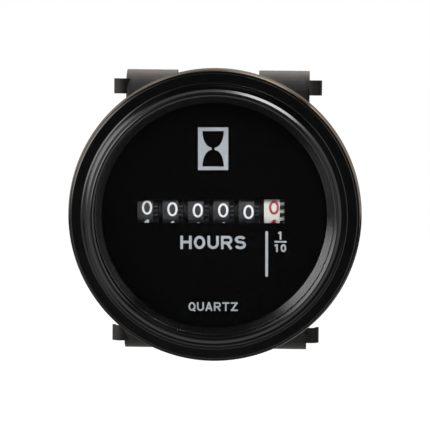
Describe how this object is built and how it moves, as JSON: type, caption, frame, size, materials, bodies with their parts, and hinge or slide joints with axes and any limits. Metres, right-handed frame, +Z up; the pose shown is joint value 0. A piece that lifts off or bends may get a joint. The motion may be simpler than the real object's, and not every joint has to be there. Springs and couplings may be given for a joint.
{
  "type": "hour meter",
  "caption": "Round panel hour meter with a gloss bezel, recessed dial, geared number wheels driven by a small stepper movement, rear blade terminals and a slide-on panel clamp.",
  "frame": {"origin": "on the case's axis, in the plane of the bezel's back face where it meets the panel's front", "axes": "+Z up the dial, +X to the reader's right, the dial faces -Y and +Y runs back through the panel"},
  "size_m": [0.0586, 0.051, 0.0586],
  "materials": {
    "bezel_black": "gloss black enamel over a spun ring",
    "lens_clear": "clear polished acrylic",
    "gasket_rubber": "matt rubber",
    "dial_ring_black": "satin black moulding",
    "dial_black": "black screen-printed plate",
    "case_black": "fine-grained black moulding",
    "terminal_tin": "tin-plated stamping",
    "frame_ivory": "ivory moulding",
    "plate_brass": "stamped sheet",
    "shaft_steel": "ground steel",
    "gear_acetal": "natural acetal",
    "magnet_ferrite": "sintered ferrite",
    "stator_steel": "annealed electrical steel",
    "bobbin_nylon": "natural nylon",
    "winding_copper": "enamelled copper wire",
    "board_green": "solder-masked laminate",
    "can_nickel": "drawn nickel can",
    "chip_epoxy": "black moulded epoxy",
    "can_sleeve": "shrink-sleeved can",
    "screw_zinc": "zinc-plated steel",
    "clamp_nylon": "satin dark grey nylon",
    "wheel_white": "white moulding with red figures",
    "wheel_black": "black moulding with white figures"
  },
  "bodies": {
    "housing": {"bezel": "bezel_black", "lens": "lens_clear", "lens_gasket": "gasket_rubber", "dial_ring": "dial_ring_black", "dial": "dial_black", "case": "case_black", "terminal_positive": "terminal_tin", "terminal_negative": "terminal_tin", "movement_frame": "frame_ivory", "gear_plate": "plate_brass", "gear_arbors": "shaft_steel", "wheel_shaft": "shaft_steel", "pinion_shaft": "shaft_steel", "stator": "stator_steel", "coil_bobbin": "bobbin_nylon", "coil_winding": "winding_copper", "circuit_board": "board_green", "quartz_crystal": "can_nickel", "timer_chip": "chip_epoxy", "capacitor": "can_sleeve", "frame_screws": "screw_zinc", "plate_screws": "screw_zinc"},
    "wheel_tenths": {"wheel_tenths": "wheel_white"},
    "wheel_ten_thousands": {"wheel_ten_thousands": "wheel_black"},
    "wheel_thousands": {"wheel_thousands": "wheel_black"},
    "wheel_hundreds": {"wheel_hundreds": "wheel_black"},
    "wheel_tens": {"wheel_tens": "wheel_black"},
    "wheel_units": {"wheel_units": "wheel_black"},
    "pinion_ten_thousands": {"pinion_ten_thousands": "gear_acetal"},
    "pinion_thousands": {"pinion_thousands": "gear_acetal"},
    "pinion_hundreds": {"pinion_hundreds": "gear_acetal"},
    "pinion_tens": {"pinion_tens": "gear_acetal"},
    "pinion_units": {"pinion_units": "gear_acetal"},
    "drive_gear": {"drive_gear": "gear_acetal"},
    "idler_gear": {"idler_gear": "gear_acetal"},
    "rotor": {"rotor": "gear_acetal", "rotor_magnet": "magnet_ferrite"},
    "clamp": {"clamp_bracket": "clamp_nylon"}
  },
  "joints": [
    {"name": "tenths_turn", "type": "hinge", "parent": "housing", "child": "wheel_tenths", "pos_m": [0, 0.0081, 0.0007], "axis": [-1, 0, 0], "continuous": true},
    {"name": "units_turn", "type": "hinge", "parent": "housing", "child": "wheel_units", "pos_m": [0, 0.0081, 0.0007], "axis": [-1, 0, 0], "continuous": true},
    {"name": "units_pinion_turn", "type": "hinge", "parent": "housing", "child": "pinion_units", "pos_m": [0, 0.01305, -0.00425], "axis": [-1, 0, 0], "continuous": true},
    {"name": "tens_turn", "type": "hinge", "parent": "housing", "child": "wheel_tens", "pos_m": [0, 0.0081, 0.0007], "axis": [-1, 0, 0], "continuous": true},
    {"name": "tens_pinion_turn", "type": "hinge", "parent": "housing", "child": "pinion_tens", "pos_m": [0, 0.01305, -0.00425], "axis": [-1, 0, 0], "continuous": true},
    {"name": "hundreds_turn", "type": "hinge", "parent": "housing", "child": "wheel_hundreds", "pos_m": [0, 0.0081, 0.0007], "axis": [-1, 0, 0], "continuous": true},
    {"name": "hundreds_pinion_turn", "type": "hinge", "parent": "housing", "child": "pinion_hundreds", "pos_m": [0, 0.01305, -0.00425], "axis": [-1, 0, 0], "continuous": true},
    {"name": "thousands_turn", "type": "hinge", "parent": "housing", "child": "wheel_thousands", "pos_m": [0, 0.0081, 0.0007], "axis": [-1, 0, 0], "continuous": true},
    {"name": "thousands_pinion_turn", "type": "hinge", "parent": "housing", "child": "pinion_thousands", "pos_m": [0, 0.01305, -0.00425], "axis": [-1, 0, 0], "continuous": true},
    {"name": "ten_thousands_turn", "type": "hinge", "parent": "housing", "child": "wheel_ten_thousands", "pos_m": [0, 0.0081, 0.0007], "axis": [-1, 0, 0], "continuous": true},
    {"name": "ten_thousands_pinion_turn", "type": "hinge", "parent": "housing", "child": "pinion_ten_thousands", "pos_m": [0, 0.01305, -0.00425], "axis": [-1, 0, 0], "continuous": true},
    {"name": "drive_turn", "type": "hinge", "parent": "housing", "child": "drive_gear", "pos_m": [0, 0.01468, 0.00309], "axis": [-1, 0, 0], "continuous": true},
    {"name": "idler_turn", "type": "hinge", "parent": "housing", "child": "idler_gear", "pos_m": [0, 0.02032, 0.00104], "axis": [-1, 0, 0], "continuous": true},
    {"name": "rotor_turn", "type": "hinge", "parent": "housing", "child": "rotor", "pos_m": [0, 0.02521, 0], "axis": [-1, 0, 0], "continuous": true},
    {"name": "clamp_slide", "type": "slide", "parent": "housing", "child": "clamp", "axis": [0, 1, 0], "range_m": [-0.01, 0.028]}
  ],
  "couplings": [
    {"joint": "units_turn", "follows": "tenths_turn", "ratio": 0.1},
    {"joint": "units_pinion_turn", "follows": "tenths_turn", "ratio": -0.25},
    {"joint": "tens_turn", "follows": "tenths_turn", "ratio": 0.01},
    {"joint": "tens_pinion_turn", "follows": "tenths_turn", "ratio": -0.025},
    {"joint": "hundreds_turn", "follows": "tenths_turn", "ratio": 0.001},
    {"joint": "hundreds_pinion_turn", "follows": "tenths_turn", "ratio": -0.0025},
    {"joint": "thousands_turn", "follows": "tenths_turn", "ratio": 0.0001},
    {"joint": "thousands_pinion_turn", "follows": "tenths_turn", "ratio": -0.00025},
    {"joint": "ten_thousands_turn", "follows": "tenths_turn", "ratio": 0.00001},
    {"joint": "ten_thousands_pinion_turn", "follows": "tenths_turn", "ratio": -0.000025},
    {"joint": "drive_turn", "follows": "tenths_turn", "ratio": -2.5},
    {"joint": "idler_turn", "follows": "tenths_turn", "ratio": 10},
    {"joint": "rotor_turn", "follows": "tenths_turn", "ratio": -40}
  ]
}
